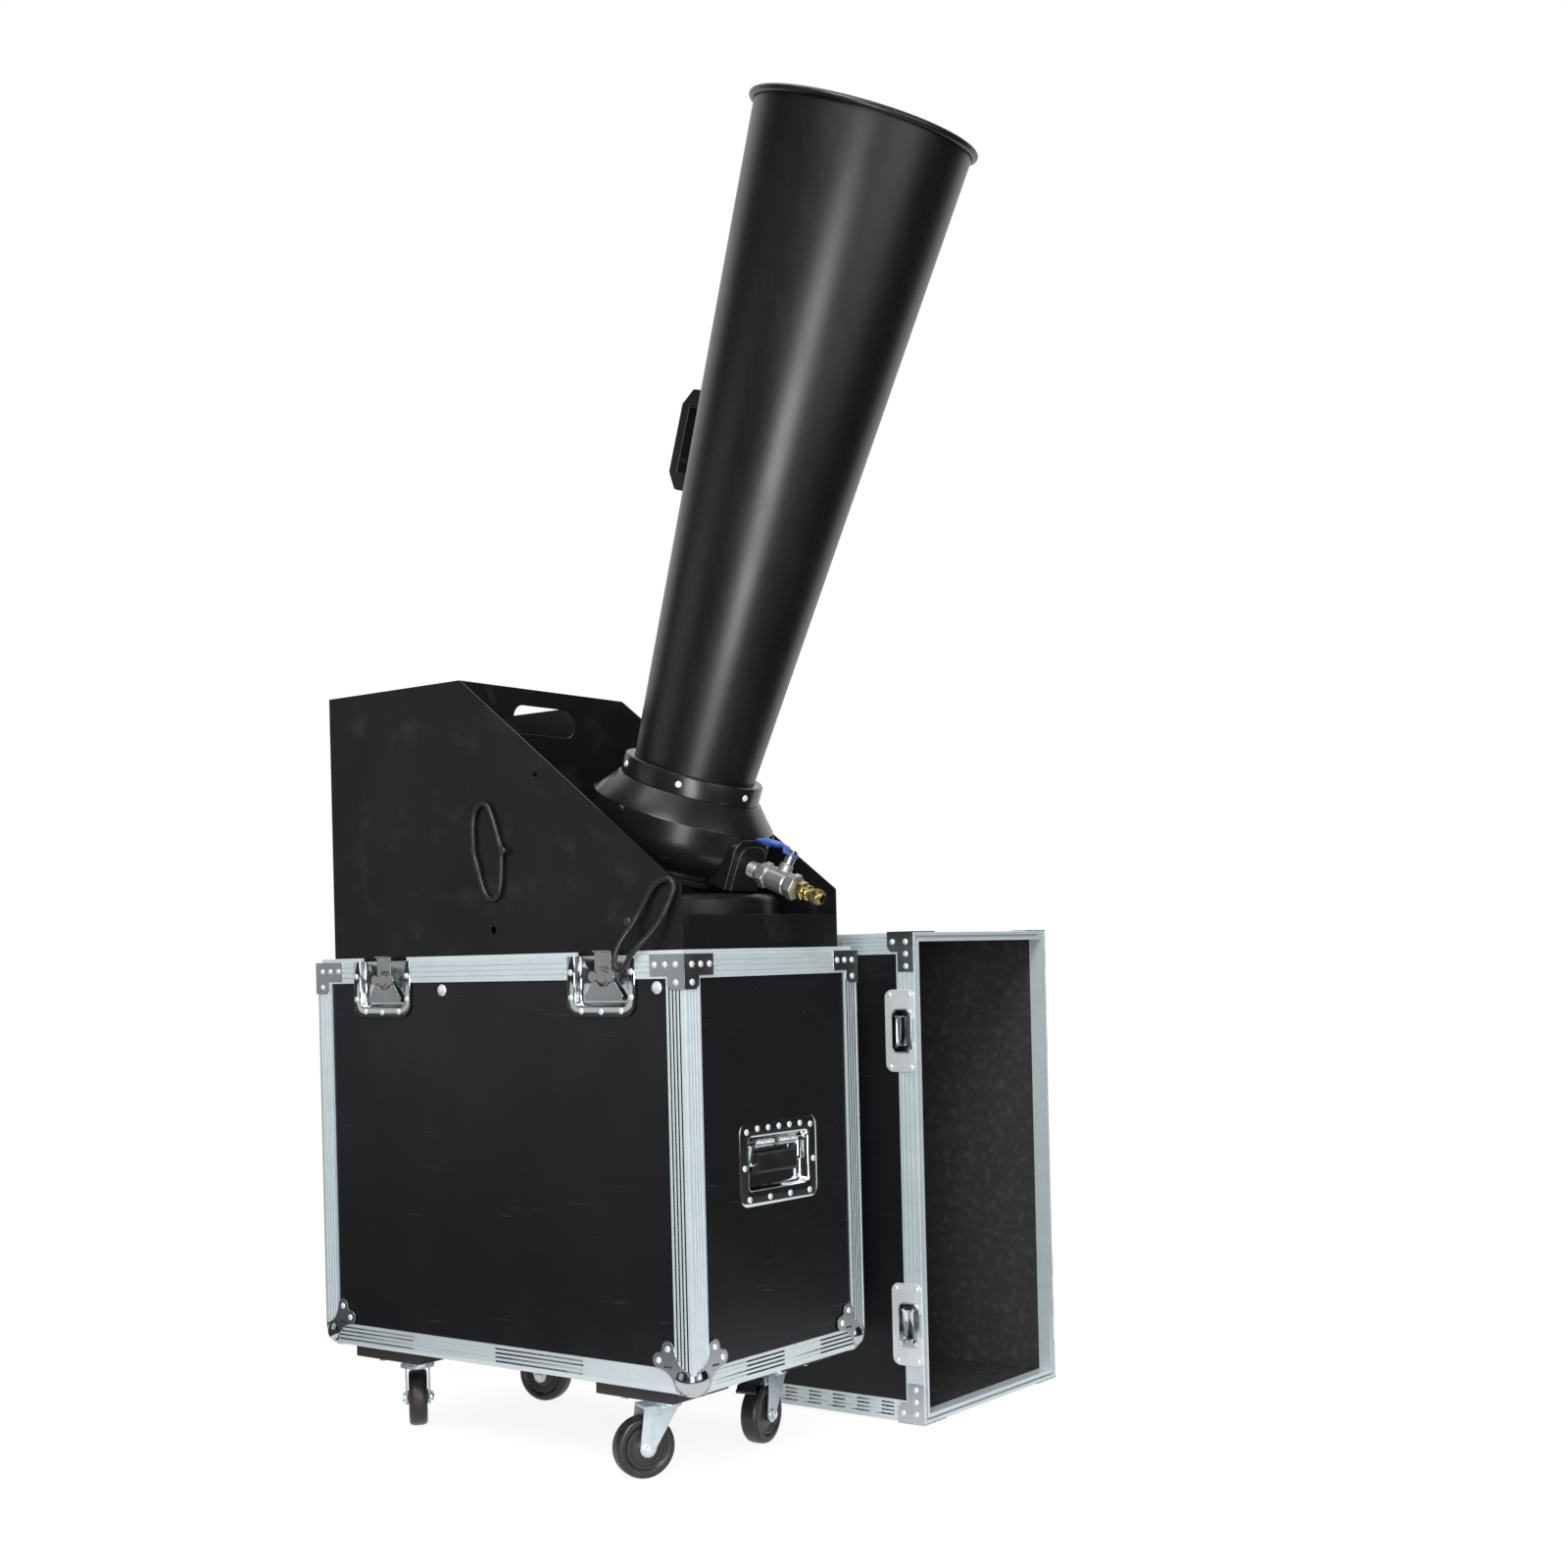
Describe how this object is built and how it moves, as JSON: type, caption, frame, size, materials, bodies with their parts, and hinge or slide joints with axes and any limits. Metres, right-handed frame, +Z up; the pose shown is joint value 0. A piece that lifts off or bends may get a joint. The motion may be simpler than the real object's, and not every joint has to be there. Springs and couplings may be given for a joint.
{
  "type": "confetti blower",
  "caption": "Wheeled flight case holding a black steel confetti hopper with an air amplifier, ball valve and leaning conical blast tube; the case's lift-off lid stands beside it.",
  "frame": {"origin": "on the floor, in the middle of the footprint box of the case, its tube and the lid beside it", "axes": "+Z up, +X the way the tube leans and throws, -Y the side with the two latches in front, +Y the side where the lid stands"},
  "size_m": [0.9948, 0.8291, 1.7379],
  "materials": {
    "laminate": "textured black laminate on plywood",
    "extrusion": "satin anodised aluminium",
    "steel_corner": "bright zinc-plated steel",
    "foam": "dark closed-cell foam",
    "black_board": "plywood painted black",
    "zinc": "zinc-plated steel",
    "black_hub": "black moulded nylon",
    "rubber": "black rubber tread",
    "black_steel": "fine-textured black powder coat",
    "black_alloy": "aluminium with a black gloss coat",
    "black_grip": "black moulded grip",
    "coated_rope": "wire rope in glossy black sleeve",
    "brass": "bare brass",
    "blue_lever": "steel lever in a blue dip coat"
  },
  "bodies": {
    "case": {"floor_panel": "laminate", "wall_panels": "laminate", "edge_angles": "extrusion", "rim_frame": "extrusion", "ball_corners": "steel_corner", "corner_plates": "steel_corner", "fasteners": "steel_corner", "foam_lining": "foam", "castor_boards": "black_board", "castor_plates": "zinc", "latch_dishes": "steel_corner", "handle_dishes": "steel_corner", "hopper_right_cheek": "black_steel", "hopper_left_cheek": "black_steel", "hopper_ends": "black_steel", "hopper_deck": "black_steel", "bin_front": "black_steel", "chute_floor": "black_steel", "lifting_loops": "coated_rope", "inlet_neck": "black_alloy", "amplifier_body": "black_alloy", "amplifier_insert": "black_alloy", "tube_collar": "black_alloy", "blast_tube": "black_alloy", "tube_handle": "black_alloy", "valve_body": "zinc", "hose_coupling": "brass"},
    "castor_1": {"castor_fork_1": "zinc"},
    "wheel_1": {"castor_hub_1": "black_hub", "castor_tyre_1": "rubber"},
    "castor_2": {"castor_fork_2": "zinc"},
    "wheel_2": {"castor_hub_2": "black_hub", "castor_tyre_2": "rubber"},
    "castor_3": {"castor_fork_3": "zinc"},
    "wheel_3": {"castor_hub_3": "black_hub", "castor_tyre_3": "rubber"},
    "brake_3": {"brake_pedal_3": "black_steel"},
    "castor_4": {"castor_fork_4": "zinc"},
    "wheel_4": {"castor_hub_4": "black_hub", "castor_tyre_4": "rubber"},
    "brake_4": {"brake_pedal_4": "black_steel"},
    "latch_wing_1": {"latch_wing_1": "zinc"},
    "latch_hook_1": {"latch_hook_1": "zinc"},
    "latch_wing_2": {"latch_wing_2": "zinc"},
    "latch_hook_2": {"latch_hook_2": "zinc"},
    "latch_wing_3": {"latch_wing_3": "zinc"},
    "latch_hook_3": {"latch_hook_3": "zinc"},
    "latch_wing_4": {"latch_wing_4": "zinc"},
    "latch_hook_4": {"latch_hook_4": "zinc"},
    "handle_front": {"handle_bow_front": "steel_corner", "handle_grip_front": "black_grip"},
    "handle_back": {"handle_bow_back": "steel_corner", "handle_grip_back": "black_grip"},
    "valve_spindle": {"valve_stem": "zinc", "valve_lever": "blue_lever"},
    "lid": {"lid_panels": "laminate", "lid_angles": "extrusion", "lid_keepers": "steel_corner", "lid_balls": "steel_corner", "lid_plates": "steel_corner"}
  },
  "joints": [
    {"name": "castor_swivel_1", "type": "hinge", "parent": "case", "child": "castor_1", "pos_m": [0.07855, -0.3334, 0.0935], "axis": [0, 0, 1], "continuous": true},
    {"name": "wheel_spin_1", "type": "hinge", "parent": "castor_1", "child": "wheel_1", "pos_m": [0.06584, -0.35835, 0.04], "axis": [0.891, -0.454, 0], "continuous": true},
    {"name": "castor_swivel_2", "type": "hinge", "parent": "case", "child": "castor_2", "pos_m": [-0.38145, -0.3334, 0.0935], "axis": [0, 0, 1], "continuous": true},
    {"name": "wheel_spin_2", "type": "hinge", "parent": "castor_2", "child": "wheel_2", "pos_m": [-0.40226, -0.31466, 0.04], "axis": [-0.6691, -0.7431, 0], "continuous": true},
    {"name": "castor_swivel_3", "type": "hinge", "parent": "case", "child": "castor_3", "pos_m": [0.07855, -0.1094, 0.0935], "axis": [0, 0, 1], "continuous": true},
    {"name": "wheel_spin_3", "type": "hinge", "parent": "castor_3", "child": "wheel_3", "pos_m": [0.08341, -0.13698, 0.04], "axis": [0.9848, 0.1736, 0], "continuous": true},
    {"name": "brake_press_3", "type": "hinge", "parent": "castor_3", "child": "brake_3", "pos_m": [0.0855, -0.14879, 0.0875], "axis": [0.9848, 0.1736, 0], "range_deg": [0, 24]},
    {"name": "castor_swivel_4", "type": "hinge", "parent": "case", "child": "castor_4", "pos_m": [-0.38145, -0.1094, 0.0935], "axis": [0, 0, 1], "continuous": true},
    {"name": "wheel_spin_4", "type": "hinge", "parent": "castor_4", "child": "wheel_4", "pos_m": [-0.35417, -0.1031, 0.04], "axis": [-0.225, 0.9744, 0], "continuous": true},
    {"name": "brake_press_4", "type": "hinge", "parent": "castor_4", "child": "brake_4", "pos_m": [-0.34248, -0.1004, 0.0875], "axis": [-0.225, 0.9744, 0], "range_deg": [0, 24]},
    {"name": "latch_turn_1", "type": "hinge", "parent": "case", "child": "latch_wing_1", "pos_m": [-0.35645, -0.4034, 0.639], "axis": [0, -1, 0], "range_deg": [0, 180]},
    {"name": "latch_draw_1", "type": "slide", "parent": "case", "child": "latch_hook_1", "axis": [0, 0, -1], "range_m": [0, 0.005]},
    {"name": "latch_turn_2", "type": "hinge", "parent": "case", "child": "latch_wing_2", "pos_m": [0.05355, -0.4034, 0.639], "axis": [0, -1, 0], "range_deg": [0, 180]},
    {"name": "latch_draw_2", "type": "slide", "parent": "case", "child": "latch_hook_2", "axis": [0, 0, -1], "range_m": [0, 0.005]},
    {"name": "latch_turn_3", "type": "hinge", "parent": "case", "child": "latch_wing_3", "pos_m": [-0.35645, -0.0394, 0.639], "axis": [0, 1, 0], "range_deg": [0, 180]},
    {"name": "latch_draw_3", "type": "slide", "parent": "case", "child": "latch_hook_3", "axis": [0, 0, -1], "range_m": [0, 0.005]},
    {"name": "latch_turn_4", "type": "hinge", "parent": "case", "child": "latch_wing_4", "pos_m": [0.05355, -0.0394, 0.639], "axis": [0, 1, 0], "range_deg": [0, 180]},
    {"name": "latch_draw_4", "type": "slide", "parent": "case", "child": "latch_hook_4", "axis": [0, 0, -1], "range_m": [0, 0.005]},
    {"name": "handle_swing_front", "type": "hinge", "parent": "case", "child": "handle_front", "pos_m": [0.18205, -0.2214, 0.42], "axis": [0, -1, 0], "range_deg": [0, 90]},
    {"name": "handle_swing_back", "type": "hinge", "parent": "case", "child": "handle_back", "pos_m": [-0.48495, -0.2214, 0.42], "axis": [0, 1, 0], "range_deg": [0, 90]},
    {"name": "valve_turn", "type": "hinge", "parent": "case", "child": "valve_spindle", "pos_m": [0.21536, -0.21105, 0.79187], "axis": [0.3462, 0.2588, 0.9018], "range_deg": [-12, 78]},
    {"name": "lid_lift", "type": "slide", "parent": "case", "child": "lid", "axis": [0, 0, 1], "range_m": [0, 0.4]}
  ],
  "couplings": [
    {"joint": "latch_draw_1", "follows": "latch_turn_1", "m_per_rad": 0.0015915},
    {"joint": "latch_draw_2", "follows": "latch_turn_2", "m_per_rad": 0.0015915},
    {"joint": "latch_draw_3", "follows": "latch_turn_3", "m_per_rad": 0.0015915},
    {"joint": "latch_draw_4", "follows": "latch_turn_4", "m_per_rad": 0.0015915}
  ]
}
